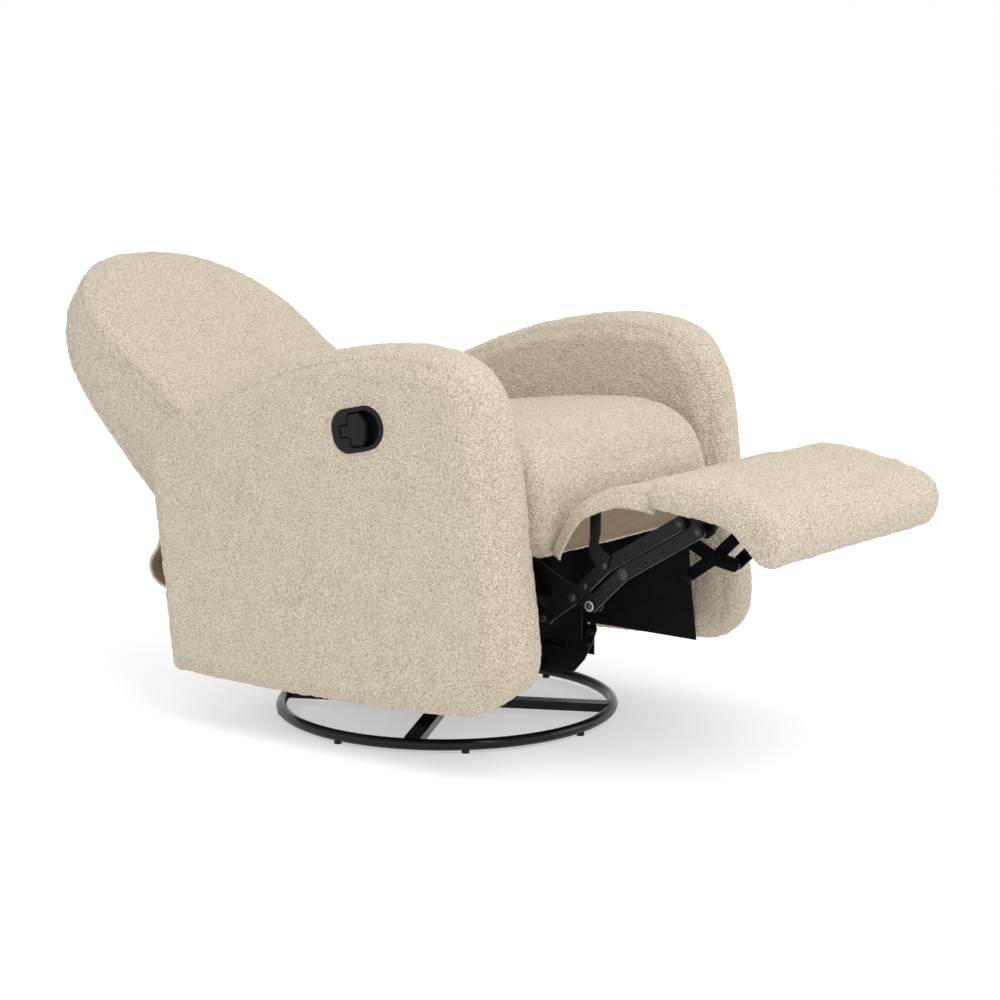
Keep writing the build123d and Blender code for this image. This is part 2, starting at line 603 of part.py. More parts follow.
with BuildPart() as back_rear_cover:
    extrude(side_face([back_rb, bottom(COVER_T), on_rear(600, COVER_T), on_rear(600)], -BACK_HW),
            amount=2 * BACK_HW)
    extrude(arch_face(BACK_HW, BACK_ARCH_S, BACK_TOP_S, -120), amount=400, both=True, mode=Mode.INTERSECT)
    add(back_pocket.part, mode=Mode.SUBTRACT)
save(back_rear_cover, "back_rear_cover")

# Steel brackets from the recline hinge to a foot plate on the bottom face of the back.
with BuildPart() as back_brackets:
    extrude(side_face([(-256, 452), (-258, 465), (-270, 471), (-281, 466), (-309.2, 452.8), (-362.9, 356.8),
                       (-345, 366), (-276, 438), (-262, 441)], LAYER_A[0]), amount=LAYER_A[1] - LAYER_A[0])
    extrude(side_face([(-365.5, 358.3), (-311.8, 454.3), (-309.2, 452.8), (-362.9, 356.8)], LAYER_A[0]),
            amount=30)
    rod(HINGE, PIN_R + 1 + RUN, LAYER_A[0] - 1, LAYER_A[1] + 1, Mode.SUBTRACT)
    mirror(about=Plane.YZ)
save(back_brackets, "back_brackets")
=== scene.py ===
import bmesh
import bpy
import json
import math
import numpy as np
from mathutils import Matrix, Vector, kdtree


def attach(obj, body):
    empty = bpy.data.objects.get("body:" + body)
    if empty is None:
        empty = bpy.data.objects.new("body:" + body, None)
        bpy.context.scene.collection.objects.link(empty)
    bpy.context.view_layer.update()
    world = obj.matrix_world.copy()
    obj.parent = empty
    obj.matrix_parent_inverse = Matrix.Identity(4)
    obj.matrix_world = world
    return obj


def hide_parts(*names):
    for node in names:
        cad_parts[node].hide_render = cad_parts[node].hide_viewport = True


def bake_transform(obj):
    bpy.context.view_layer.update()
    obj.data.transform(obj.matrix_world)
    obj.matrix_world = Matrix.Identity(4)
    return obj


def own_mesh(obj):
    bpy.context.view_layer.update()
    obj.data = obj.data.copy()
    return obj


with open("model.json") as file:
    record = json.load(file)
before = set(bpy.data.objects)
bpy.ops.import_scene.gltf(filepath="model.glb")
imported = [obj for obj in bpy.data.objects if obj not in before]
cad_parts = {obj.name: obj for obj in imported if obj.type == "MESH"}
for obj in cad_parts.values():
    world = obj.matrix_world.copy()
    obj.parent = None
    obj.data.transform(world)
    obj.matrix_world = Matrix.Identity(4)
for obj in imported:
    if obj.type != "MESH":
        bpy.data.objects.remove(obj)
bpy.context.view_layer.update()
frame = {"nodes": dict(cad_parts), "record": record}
scene = bpy.context.scene

# ------------------------------------------------------------------ camera
CAM_AZ, CAM_EL = math.radians(-52.16), math.radians(10.06)
cam = bpy.data.objects.new("camera", bpy.data.cameras.new("camera"))
scene.collection.objects.link(cam)
cam.location = (-3.4888, -2.8281, 1.1696)
cam_back = Vector((math.sin(CAM_AZ) * math.cos(CAM_EL), -math.cos(CAM_AZ) * math.cos(CAM_EL), math.sin(CAM_EL)))
cam.rotation_mode = "QUATERNION"
cam.rotation_quaternion = (-cam_back).to_track_quat("-Z", "Y")
cam.data.sensor_width = 36.0
cam.data.lens = 94.585
cam.data.clip_start, cam.data.clip_end = 0.1, 100
scene.camera = cam
scene.view_settings.view_transform = "Standard"
scene.view_settings.look = "None"


# ------------------------------------------------------------------ small tools
def lattice(i, j, k, seed):
    """Repeatable value in 0..1 for each lattice point."""
    h = (i * 374761393 + j * 668265263 + k * 2147483647 + seed * 1274126177) & 0xFFFFFFFF
    h = ((h ^ (h >> 13)) * 1274126177) & 0xFFFFFFFF
    h = h ^ (h >> 16)
    return (h & 0xFFFF) / 65535.0


def value_noise(p, size, seed=1):
    """Smooth value noise, about -1..1, with lumps of the given size."""
    q = p / size
    f = np.floor(q).astype(np.int64)
    t = q - f
    t = t * t * (3 - 2 * t)
    out = 0.0
    for a in (0, 1):
        for b in (0, 1):
            for c in (0, 1):
                w = (t[:, 0] if a else 1 - t[:, 0]) * (t[:, 1] if b else 1 - t[:, 1]) * (t[:, 2] if c else 1 - t[:, 2])
                out = out + w * lattice(f[:, 0] + a, f[:, 1] + b, f[:, 2] + c, seed)
    return out * 2 - 1


def smooth(e0, e1, v):
    t = np.clip((v - e0) / (e1 - e0), 0, 1)
    return t * t * (3 - 2 * t)


def resample(points, count, closed=True):
    p = np.array(points, float)
    if closed:
        p = np.vstack([p, p[:1]])
    seg = np.linalg.norm(np.diff(p, axis=0), axis=1)
    s = np.concatenate([[0], np.cumsum(seg)])
    t = np.linspace(0, s[-1], count, endpoint=not closed)
    return np.column_stack([np.interp(t, s, p[:, i]) for i in range(p.shape[1])])


def catmull(points, closed=True, sub=12):
    p = np.array(points, float)
    n = len(p)
    out = []
    for i in range(n if closed else n - 1):
        if closed:
            p0, p1, p2, p3 = p[i - 1], p[i], p[(i + 1) % n], p[(i + 2) % n]
        else:
            p0, p1, p2, p3 = p[max(i - 1, 0)], p[i], p[i + 1], p[min(i + 2, n - 1)]
        for t in np.arange(sub) / sub:
            out.append(0.5 * (2 * p1 + (p2 - p0) * t + (2 * p0 - 5 * p1 + 4 * p2 - p3) * t ** 2
                              + (3 * p1 - p0 - 3 * p2 + p3) * t ** 3))
    if not closed:
        out.append(p[-1])
    return np.array(out)


def outline(points, step=8.0):
    """Smooth closed outline, counter-clockwise, with points about step apart."""
    c = catmull(points)
    if np.sum(c[:, 0] * np.roll(c[:, 1], -1) - np.roll(c[:, 0], -1) * c[:, 1]) < 0:
        c = c[::-1]
    length = np.sum(np.linalg.norm(np.roll(c, -1, 0) - c, axis=1))
    return resample(c, int(length / step))


def inset(c, d):
    """The outline moved inwards by d, point for point, with crossed stretches pulled straight."""
    d = np.broadcast_to(np.asarray(d, float), (len(c),))
    if np.max(np.abs(d)) < 1e-6:
        return c.copy()
    t = np.roll(c, -1, 0) - np.roll(c, 1, 0)
    t /= np.linalg.norm(t, axis=1)[:, None]
    q = c + d[:, None] * np.column_stack([-t[:, 1], t[:, 0]])
    if np.max(d) <= 0:
        return q
    dist = np.array([np.min(np.hypot(c[:, 0] - x, c[:, 1] - y)) for x, y in q])
    ok = dist > d * 0.985 - 0.6
    if ok.sum() < 8:
        return q
    idx = np.arange(len(c))
    good = idx[ok]
    ext = np.concatenate([good - len(c), good, good + len(c)])
    qq = np.vstack([q[good]] * 3)
    return np.column_stack([np.interp(idx, ext, qq[:, 0]), np.interp(idx, ext, qq[:, 1])])


def new_object(name, verts, faces):
    mesh = bpy.data.meshes.new(name)
    mesh.from_pydata([tuple(v) for v in verts], [], faces)
    mesh.validate()
    mesh.update()
    obj = bpy.data.objects.new(name, mesh)
    scene.collection.objects.link(obj)
    return obj


def loft(name, rings, close_ends=True):
    """Closed skin over rings of equal point count, in millimetres."""
    n = len(rings[0])
    verts = np.vstack(rings) * 0.001
    faces = []
    for k in range(len(rings) - 1):
        for i in range(n):
            j = (i + 1) % n
            faces.append((k * n + i, k * n + j, (k + 1) * n + j, (k + 1) * n + i))
    if close_ends:
        faces.append(tuple(range(n - 1, -1, -1)))
        faces.append(tuple((len(rings) - 1) * n + i for i in range(n)))
    obj = new_object(name, verts, faces)
    bm = bmesh.new()
    bm.from_mesh(obj.data)
    bmesh.ops.recalc_face_normals(bm, faces=bm.faces)
    bm.to_mesh(obj.data)
    bm.free()
    return obj


def coords(obj):
    co = np.empty(len(obj.data.vertices) * 3)
    obj.data.vertices.foreach_get("co", co)
    return co.reshape(-1, 3)


def normals(obj):
    no = np.empty(len(obj.data.vertices) * 3)
    obj.data.vertices.foreach_get("normal", no)
    return no.reshape(-1, 3)


def set_coords(obj, co):
    obj.data.vertices.foreach_set("co", np.ascontiguousarray(co, float).ravel())
    obj.data.update()


def apply_all(obj):
    dg = bpy.context.evaluated_depsgraph_get()
    mesh = bpy.data.meshes.new_from_object(obj.evaluated_get(dg))
    obj.modifiers.clear()
    old = obj.data
    obj.data = mesh
    bpy.data.meshes.remove(old)
    mesh.name = obj.name


def remesh(obj, voxel):
    m = obj.modifiers.new("remesh", "REMESH")
    m.mode = "VOXEL"
    m.voxel_size = voxel * 0.001
    apply_all(obj)


def relax(obj, rounds, factor=0.5):
    m = obj.modifiers.new("relax", "SMOOTH")
    m.iterations = rounds
    m.factor = factor
    apply_all(obj)


def inflate(obj, cap, pressure=4.0, frames=20):
    """Cloth under pressure, with gravity off; a point swells by up to about cap mm and hardly sinks."""
    start, out = coords(obj), normals(obj)
    m = obj.modifiers.new("cloth", "CLOTH")
    s = m.settings
    s.use_pressure = True
    s.uniform_pressure_force = pressure
    s.effector_weights.gravity = 0
    s.mass = 0.3
    s.quality = 4
    s.tension_stiffness = s.compression_stiffness = 15
    s.shear_stiffness = 5
    s.bending_stiffness = 0.5
    m.collision_settings.use_collision = False
    m.collision_settings.use_self_collision = False
    m.point_cache.frame_start, m.point_cache.frame_end = 1, frames
    for f in range(1, frames + 1):
        scene.frame_set(f)
    dg = bpy.context.evaluated_depsgraph_get()
    ev = obj.evaluated_get(dg)
    co = np.empty(len(start) * 3)
    ev.data.vertices.foreach_get("co", co)
    obj.modifiers.clear()
    scene.frame_set(1)
    d = co.reshape(-1, 3) - start
    d -= d.mean(0)
    along = np.sum(d * out, axis=1)
    slide = d - along[:, None] * out
    cap_m = cap * 0.001
    along = np.where(along > 0, cap_m * np.tanh(along / cap_m), 0.0012 * np.tanh(along / 0.006))
    length = np.linalg.norm(slide, axis=1)[:, None] + 1e-9
    slide *= 0.0015 * np.tanh(length / 0.006) / length
    set_coords(obj, start + out * along[:, None] + slide)


def subdivide(obj):
    m = obj.modifiers.new("subd", "SUBSURF")
    m.levels = m.render_levels = 1
    apply_all(obj)


def seam(obj, points, depth=3.0, width=4.0, pucker=0.35, wave=26.0, facing=None, swell=0.0, side_view=False):
    """Groove along a polyline (mm), with puckers that come and go along it."""
    line = resample(catmull(points, closed=False), max(20, int(sum(
        np.linalg.norm(np.diff(np.array(points, float), axis=0), axis=1)) / 2.0)), closed=False)
    tree = kdtree.KDTree(len(line))
    flat = np.array((0.0 if side_view else 1.0, 1.0, 1.0))
    for i, p in enumerate(line):
        tree.insert(Vector(p * flat) * 0.001, i)
    tree.balance()
    co, no = coords(obj), normals(obj)
    lo, hi = line.min(0) * 0.001 - 0.04, line.max(0) * 0.001 + 0.04
    near = np.where(np.all((co > lo) & (co < hi), axis=1))[0]
    flat_co = co * flat
    if facing is not None:
        near = near[no[near] @ np.array(facing, float) > 0.05]
    step = np.linalg.norm(np.diff(line, axis=0), axis=1).mean()
    for i in near:
        q, k, dist = tree.find(flat_co[i])
        dist *= 1000
        if dist > width * 6:
            continue
        w = math.exp(-(dist / width) ** 2)
        s = k * step
        ripple = math.sin(2 * math.pi * s / wave + 1.7 * math.sin(s / 41.0))
        push = depth * w * (1 + 0.2 * ripple)
        push += pucker * depth * ripple * math.exp(-(dist / (width * 2.6)) ** 2)
        push -= swell * math.exp(-((dist - width * 2.6) / (width * 1.3)) ** 2)
        co[i] -= no[i] * push * 0.001
    set_coords(obj, co)


def pile(obj, amount=1.0, seed=3):
    """Lumpy looped pile in the mesh itself, so outlines are not clean curves."""
    co, no = coords(obj), normals(obj)
    h = 1.5 * value_noise(co, 0.0068, seed) + 0.55 * value_noise(co, 0.015, seed + 1) \
        + 0.9 * value_noise(co, 0.055, seed + 2) + 1.1 * value_noise(co, 0.14, seed + 3)
    set_coords(obj, co + no * (h * amount * 0.001)[:, None])


def shade(obj):
    obj.data.polygons.foreach_set("use_smooth", [True] * len(obj.data.polygons))


def dress(obj, material, body, nodes=()):
    obj.data.materials.clear()
    for m in (material if isinstance(material, (list, tuple)) else [material]):
        obj.data.materials.append(m)
    shade(obj)
    if body:
        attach(obj, body)
    if nodes:
        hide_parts(*nodes)
    return obj


# ------------------------------------------------------------------ materials
def material(name):
    m = bpy.data.materials.new(name)
    m.use_nodes = True
    nt = m.node_tree
    return m, nt, nt.nodes["Principled BSDF"], nt.nodes, nt.links


def ramp(nodes, stops):
    r = nodes.new("ShaderNodeValToRGB")
    e = r.color_ramp.elements
    while len(e) < len(stops):
        e.new(0.5)
    for el, (pos, col) in zip(e, stops):
        el.position = pos
        el.color = (*col, 1)
    return r


def math_node(nodes, links, op, a, b=None, clamp=False):
    n = nodes.new("ShaderNodeMath")
    n.operation = op
    n.use_clamp = clamp
    for k, v in enumerate((a, b)):
        if v is None:
            continue
        if hasattr(v, "is_output"):
            links.new(v, n.inputs[k])
        else:
            n.inputs[k].default_value = v
    return n.outputs[0]


def make_sherpa(name, high, mid, low, nub=0.0037):
    """Looped pile: small even curls, a little patchy at hand size; painted shade darkens the hollows between them and a
    painted highlight lifts the tips.
    """
    m, nt, bsdf, nodes, links = material(name)
    tc = nodes.new("ShaderNodeTexCoord")
    curl = nodes.new("ShaderNodeTexNoise")
    curl.inputs["Scale"].default_value = 1 / (nub * 1.5)
    curl.inputs["Detail"].default_value = 1
    links.new(tc.outputs["Object"], curl.inputs["Vector"])
    warp = nodes.new("ShaderNodeVectorMath")
    warp.operation = "MULTIPLY_ADD"
    warp.inputs[1].default_value = (nub * 0.8,) * 3
    links.new(curl.outputs["Color"], warp.inputs[0])
    links.new(tc.outputs["Object"], warp.inputs[2])
    curls = nodes.new("ShaderNodeTexNoise")
    curls.inputs["Scale"].default_value = 1 / (nub * 0.66)
    curls.inputs["Detail"].default_value = 1.6
    curls.inputs["Roughness"].default_value = 0.55
    links.new(warp.outputs[0], curls.inputs["Vector"])
    nubs = nodes.new("ShaderNodeTexVoronoi")
    nubs.feature = "F1"
    nubs.inputs["Scale"].default_value = 1 / nub
    nubs.inputs["Randomness"].default_value = 0.75
    links.new(warp.outputs[0], nubs.inputs["Vector"])
    h1 = math_node(nodes, links, "MULTIPLY", math_node(nodes, links, "SUBTRACT", 1.0, nubs.outputs["Distance"]), 0.38)
    height = math_node(nodes, links, "ADD", h1, curls.outputs["Fac"])
    norm = nodes.new("ShaderNodeMapRange")
    norm.inputs["From Min"].default_value = 0.42
    norm.inputs["From Max"].default_value = 0.98
    links.new(height, norm.inputs["Value"])
    # Colour by pile height: the low colour is painted shade in the hollows, and the top stop is a painted highlight on
    # the tips.
    colour = ramp(nodes, [(0.0, low), (0.42, mid), (0.80, high), (1.0, tuple(min(1, c * 1.06) for c in high))])
    links.new(norm.outputs[0], colour.inputs["Fac"])
    patch = nodes.new("ShaderNodeTexNoise")
    patch.inputs["Scale"].default_value = 26
    patch.inputs["Detail"].default_value = 3
    links.new(tc.outputs["Object"], patch.inputs["Vector"])
    shade_ramp = ramp(nodes, [(0.3, (0.945, 0.94, 0.93)), (0.7, (1.0, 1.0, 1.0))])
    links.new(patch.outputs["Fac"], shade_ramp.inputs["Fac"])
    mix = nodes.new("ShaderNodeMix")
    mix.data_type = "RGBA"
    mix.blend_type = "MULTIPLY"
    mix.inputs[0].default_value = 1.0
    links.new(colour.outputs["Color"], mix.inputs[6])
    links.new(shade_ramp.outputs["Color"], mix.inputs[7])
    links.new(mix.outputs[2], bsdf.inputs["Base Color"])
    bump = nodes.new("ShaderNodeBump")
    bump.inputs["Strength"].default_value = 0.9
    bump.inputs["Distance"].default_value = nub * 0.7
    links.new(norm.outputs[0], bump.inputs["Height"])
    links.new(bump.outputs[0], bsdf.inputs["Normal"])
    rough = nodes.new("ShaderNodeMapRange")
    rough.inputs["To Min"].default_value = 1.0
    rough.inputs["To Max"].default_value = 0.86
    links.new(norm.outputs[0], rough.inputs["Value"])
    links.new(rough.outputs[0], bsdf.inputs["Roughness"])
    bsdf.inputs["Specular IOR Level"].default_value = 0.15
    bsdf.inputs["Sheen Weight"].default_value = 0.18
    bsdf.inputs["Sheen Roughness"].default_value = 0.6
    bsdf.inputs["Sheen Tint"].default_value = (1.0, 0.93, 0.8, 1)
    return m


def make_woven(name, light, dark, thread=0.0011, bump_strength=0.35, rough=0.9):
    """Plain woven backing cloth."""
    m, nt, bsdf, nodes, links = material(name)
    tc = nodes.new("ShaderNodeTexCoord")
    waves = []
    for direction, axis_scale in (("X", 1.0), ("Y", 1.0)):
        w = nodes.new("ShaderNodeTexWave")
        w.bands_direction = direction
        w.inputs["Scale"].default_value = 1 / thread / 6.2
        w.inputs["Distortion"].default_value = 1.2
        w.inputs["Detail"].default_value = 1
        links.new(tc.outputs["Object"], w.inputs["Vector"])
        waves.append(w)
    height = math_node(nodes, links, "MULTIPLY", waves[0].outputs["Fac"], waves[1].outputs["Fac"])
    patch = nodes.new("ShaderNodeTexNoise")
    patch.inputs["Scale"].default_value = 35
    patch.inputs["Detail"].default_value = 4
    links.new(tc.outputs["Object"], patch.inputs["Vector"])
    both = math_node(nodes, links, "ADD", math_node(nodes, links, "MULTIPLY", height, 0.5),
                     math_node(nodes, links, "MULTIPLY", patch.outputs["Fac"], 0.6))
    colour = ramp(nodes, [(0.15, dark), (0.75, light)])
    links.new(both, colour.inputs["Fac"])
    links.new(colour.outputs["Color"], bsdf.inputs["Base Color"])
    bump = nodes.new("ShaderNodeBump")
    bump.inputs["Strength"].default_value = bump_strength
    bump.inputs["Distance"].default_value = 0.0006
    links.new(height, bump.inputs["Height"])
    links.new(bump.outputs[0], bsdf.inputs["Normal"])
    bsdf.inputs["Roughness"].default_value = rough
    bsdf.inputs["Specular IOR Level"].default_value = 0.2
    return m


def make_paint(name, colour, rough, spread, coat=0.0, grain=90.0, bump_strength=0.03, metallic=0.0, flecks=0.0, spec=0.5):
    """Enamel or plated metal: uneven gloss, faint orange peel, a little dust and rub."""
    m, nt, bsdf, nodes, links = material(name)
    tc = nodes.new("ShaderNodeTexCoord")
    n1 = nodes.new("ShaderNodeTexNoise")
    n1.inputs["Scale"].default_value = grain
    n1.inputs["Detail"].default_value = 4
    links.new(tc.outputs["Object"], n1.inputs["Vector"])
    n2 = nodes.new("ShaderNodeTexNoise")
    n2.inputs["Scale"].default_value = 9
    n2.inputs["Detail"].default_value = 5
    links.new(tc.outputs["Object"], n2.inputs["Vector"])
    lo = tuple(c * (1 - spread) for c in colour)
    hi = tuple(min(1, c * (1 + spread) + flecks) for c in colour)
    col = ramp(nodes, [(0.3, lo), (0.75, hi)])
    links.new(n2.outputs["Fac"], col.inputs["Fac"])
    links.new(col.outputs["Color"], bsdf.inputs["Base Color"])
    r = nodes.new("ShaderNodeMapRange")
    r.inputs["From Min"].default_value = 0.3
    r.inputs["From Max"].default_value = 0.7
    r.inputs["To Min"].default_value = max(0.03, rough - 0.1)
    r.inputs["To Max"].default_value = rough + 0.12
    links.new(n2.outputs["Fac"], r.inputs["Value"])
    links.new(r.outputs[0], bsdf.inputs["Roughness"])
    bump = nodes.new("ShaderNodeBump")
    bump.inputs["Strength"].default_value = bump_strength
    bump.inputs["Distance"].default_value = 0.001
    links.new(n1.outputs["Fac"], bump.inputs["Height"])
    links.new(bump.outputs[0], bsdf.inputs["Normal"])
    bsdf.inputs["Metallic"].default_value = metallic
    bsdf.inputs["Specular IOR Level"].default_value = spec
    bsdf.inputs["Coat Weight"].default_value = coat
    bsdf.inputs["Coat Roughness"].default_value = 0.12
    return m


def make_grained(name, colour, light, rough=0.5):
    """Moulded plastic with a fine leather-like grain."""
    m, nt, bsdf, nodes, links = material(name)
    tc = nodes.new("ShaderNodeTexCoord")
    v = nodes.new("ShaderNodeTexVoronoi")
    v.feature = "SMOOTH_F1"
    v.inputs["Scale"].default_value = 900
    links.new(tc.outputs["Object"], v.inputs["Vector"])
    n = nodes.new("ShaderNodeTexNoise")
    n.inputs["Scale"].default_value = 60
    n.inputs["Detail"].default_value = 5
    links.new(tc.outputs["Object"], n.inputs["Vector"])
    col = ramp(nodes, [(0.3, colour), (0.75, light)])
    links.new(n.outputs["Fac"], col.inputs["Fac"])
    links.new(col.outputs["Color"], bsdf.inputs["Base Color"])
    r = nodes.new("ShaderNodeMapRange")
    r.inputs["To Min"].default_value = rough - 0.08
    r.inputs["To Max"].default_value = rough + 0.15
    links.new(n.outputs["Fac"], r.inputs["Value"])
    links.new(r.outputs[0], bsdf.inputs["Roughness"])
    bump = nodes.new("ShaderNodeBump")
    bump.inputs["Strength"].default_value = 0.25
    bump.inputs["Distance"].default_value = 0.0004
    links.new(v.outputs["Distance"], bump.inputs["Height"])
    links.new(bump.outputs[0], bsdf.inputs["Normal"])
    bsdf.inputs["Specular IOR Level"].default_value = 0.16
    return m


def make_ply(name):
    m, nt, bsdf, nodes, links = material(name)
    tc = nodes.new("ShaderNodeTexCoord")
    mp = nodes.new("ShaderNodeMapping")
    mp.inputs["Scale"].default_value = (3, 60, 60)
    links.new(tc.outputs["Object"], mp.inputs["Vector"])
    n = nodes.new("ShaderNodeTexNoise")
    n.inputs["Scale"].default_value = 3
    n.inputs["Detail"].default_value = 6
    links.new(mp.outputs[0], n.inputs["Vector"])
    col = ramp(nodes, [(0.3, (0.36, 0.23, 0.11)), (0.7, (0.60, 0.44, 0.26))])
    links.new(n.outputs["Fac"], col.inputs["Fac"])
    links.new(col.outputs["Color"], bsdf.inputs["Base Color"])
    bump = nodes.new("ShaderNodeBump")
    bump.inputs["Strength"].default_value = 0.2
    bump.inputs["Distance"].default_value = 0.0005
    links.new(n.outputs["Fac"], bump.inputs["Height"])
    links.new(bump.outputs[0], bsdf.inputs["Normal"])
    bsdf.inputs["Roughness"].default_value = 0.75
    return m


# Colours for the pile tips, the even pile, and the painted shade in the hollows.
SHERPA = make_sherpa("sherpa_cream", (0.738, 0.660, 0.553), (0.570, 0.494, 0.396), (0.372, 0.291, 0.206))
BACKING = make_woven("tan_backing", (0.31, 0.245, 0.17), (0.21, 0.155, 0.10))
LINING = make_woven("black_nonwoven", (0.012, 0.012, 0.012), (0.004, 0.004, 0.004), thread=0.0016, rough=0.85)
ENAMEL = make_paint("black_enamel", (0.0045, 0.0045, 0.005), 0.36, 0.4, spec=0.22)
TUBE = make_paint("black_gloss_tube", (0.004, 0.004, 0.0045), 0.24, 0.35, bump_strength=0.02, spec=0.28)
RIVET = make_paint("blackened_steel", (0.020, 0.020, 0.022), 0.30, 0.5, metallic=0.5, bump_strength=0.06, spec=0.35)
HEAD = make_paint("blackened_rivet_head", (0.012, 0.012, 0.013), 0.2, 0.5, bump_strength=0.05, spec=0.6)
ZINC = make_paint("zinc_steel", (0.55, 0.55, 0.56), 0.3, 0.2, metallic=1.0, bump_strength=0.05)
FEET = make_grained("black_glide_plastic", (0.012, 0.012, 0.013), (0.022, 0.022, 0.024), 0.55)
LATCH = make_grained("charcoal_latch_plastic", (0.006, 0.0065, 0.0085), (0.011, 0.012, 0.015), 0.5)
PLY = make_ply("plywood_raw")

slot_material = {"black_steel": ENAMEL, "bright_steel": ZINC, "rivet_steel": RIVET, "glide_plastic": FEET,
                 "latch_plastic": LATCH, "boucle": SHERPA, "plywood": PLY, "black_lining": LINING}
for part in frame["record"]["subparts"]:
    node = frame["nodes"].get(part["node"])
    if node is None:
        continue
    use = slot_material[part["material_slot"]]
    if part["node"] in ("base_ring", "base_spokes"):
        use = TUBE
    node.data.materials.clear()
    node.data.materials.append(use)


# ------------------------------------------------------------------ soft pieces
def slab(name, section, x0, x1, r0, r1, voxel, cap, shrink, step=8.0, sides=6, relaxed=4, pressure=4.0):
    """A padded form: side outline carried across from x0 to x1, with both edges rounded, then inflated.
    r0 and r1 are the rounding at x0 and x1, as numbers or as functions of the outline's points."""
    base = inset(outline(section, step), shrink)
    r0, r1 = (r(base) if callable(r) else np.full(len(base), float(r)) for r in (r0, r1))
    lo, hi = min(x0, x1) + shrink * 0.6, max(x0, x1) - shrink * 0.6
    rlo, rhi = (r0, r1) if x0 < x1 else (r1, r0)
    rings = []
    for k in range(sides + 1):
        a = math.pi / 2 * k / sides
        c = inset(base, rlo * (1 - math.sin(a)))
        rings.append(np.column_stack([lo + rlo * (1 - math.cos(a)), -c[:, 0], c[:, 1]]))
    for k in range(sides + 1):
        a = math.pi / 2 * (1 - k / sides)
        c = inset(base, rhi * (1 - math.sin(a)))
        rings.append(np.column_stack([hi - rhi * (1 - math.cos(a)), -c[:, 0], c[:, 1]]))
    obj = loft(name, rings)
    remesh(obj, voxel)
    relax(obj, relaxed)
    inflate(obj, cap, pressure)
    subdivide(obj)
    return obj


ARM_TOP = [(-317, 94), (-330, 172), (-338, 246), (-358, 386), (-365, 440), (-359, 485), (-329, 524),
           (-200, 591), (-68, 643), (44, 673), (161, 689), (245, 686), (315, 666), (354, 628),
           (376, 582), (388, 529), (400, 442), (420, 279), (427, 211), (420, 171), (399, 139),
           (359, 113), (300, 103)]
ARM_BOTTOM = [(240, 99), (100, 92), (-60, 88), (-175, 88), (-290, 90)]
arm_line = outline(ARM_TOP + ARM_BOTTOM, 6.0)


def arm_seam(d, x, keep):
    c = inset(arm_line, d)
    i0 = int(np.argmin(np.hypot(c[:, 0] - keep[0][0], c[:, 1] - keep[0][1])))
    c = np.roll(c, -i0, 0)
    i1 = int(np.argmin(np.hypot(c[:, 0] - keep[1][0], c[:, 1] - keep[1][1])))
    c = c[:i1 + 1]
    return [(x, -u, z) for u, z in c[::6]]


def arm_round(front, top, back):
    """Rounding along an arm's outline: full at the front, softer on top, tight at the rear and underneath."""
    def along(c):
        u, z = c[:, 0], c[:, 1]
        r = back + (top - back) * smooth(430, 560, z + 0.25 * u)
        r = r + (front - r) * smooth(260, 380, u)
        return r - (r - back) * (1 - smooth(100, 190, z)) * (1 - 0.6 * smooth(300, 400, u))
    return along


def arm_under(arm, side):
    """The underside rises from the outer edge to the inner face."""
    co = coords(arm)
    across = np.clip((352 - side * co[:, 0] * 1000) / 92, 0, 1)
    co[:, 2] += 0.031 * across * (1 - smooth(0.092, 0.200, co[:, 2]))
    set_coords(arm, co)


def arm_inner(arm, side):
    """Flat behind the lining, and clear of the seat above it."""
    co = coords(arm)
    low = (co[:, 2] < 0.326) & (-co[:, 1] > -0.296) & (-co[:, 1] < 0.350)
    face = np.where(low, 0.2584, 0.2525)
    co[:, 0] = side * np.maximum(side * co[:, 0], face)
    set_coords(arm, co)


LATCH_UZ, LATCH_TILT = (116.0, 550.5), math.radians(12.0)
arms = {}
for label, side in (("left", 1), ("right", -1)):
    arm = slab("arm_cover_" + label, ARM_TOP + ARM_BOTTOM, side * 259, side * 365, arm_round(42, 30, 12),
               arm_round(56, 36, 13), 7.0, 6.0, 2.0, step=6.0, relaxed=2)
    arm_under(arm, side)
    for x, facing, deep, pucker, swell in ((side * 366, (side, 0, 0), 2.0, 0.10, 0.4),
                                           (side * 257, (-side, 0, 0), 0.9, 0.04, 0.1)):
        seam(arm, arm_seam(25, x, ((385, 160), (-330, 470))), depth=deep, width=3.6, pucker=pucker, wave=37,
             swell=swell, facing=facing, side_view=True)
    pile(arm, 0.75, 11 if side > 0 else 23)
    arm_inner(arm, side)
    if side < 0:
        # the fabric is cut out behind the latch bezel
        co = coords(arm)
        du, dz = -co[:, 1] * 1000 - LATCH_UZ[0], co[:, 2] * 1000 - LATCH_UZ[1]
        a = du * math.cos(LATCH_TILT) + dz * math.sin(LATCH_TILT)
        b = -du * math.sin(LATCH_TILT) + dz * math.cos(LATCH_TILT)
        rim = (np.abs(a / 56) ** 3 + np.abs(b / 41) ** 3) ** (1 / 3)
        co[:, 0] = np.maximum(co[:, 0], -0.3662 - 0.012 * np.clip(rim - 1, 0, 5))
        inside = (np.abs(a / 45) ** 3 + np.abs(b / 30) ** 3 < 1) & (co[:, 0] < -0.33)
        co[inside, 0] += 0.036
        set_coords(arm, co)
    dress(arm, SHERPA, "chassis", ["arm_pad_" + label])
    arms[side] = arm

SEAT = [(-238, 446), (-238, 478), (-226, 492), (-161, 503), (64, 533), (192, 546), (250, 548), (300, 543),
        (345, 527), (372, 500), (386, 462), (391, 425), (391, 390), (387, 360), (376, 345), (358, 344), (338, 358),
        (324, 412), (322, 440), (300, 447), (0, 447)]
seat = slab("seat_cover", SEAT, -251, 251, 34, 34, 7.0, 9.0, 4.0, relaxed=3)
pile(seat, 0.8, 31)
dress(seat, SHERPA, "chassis", ["seat_cushion"])

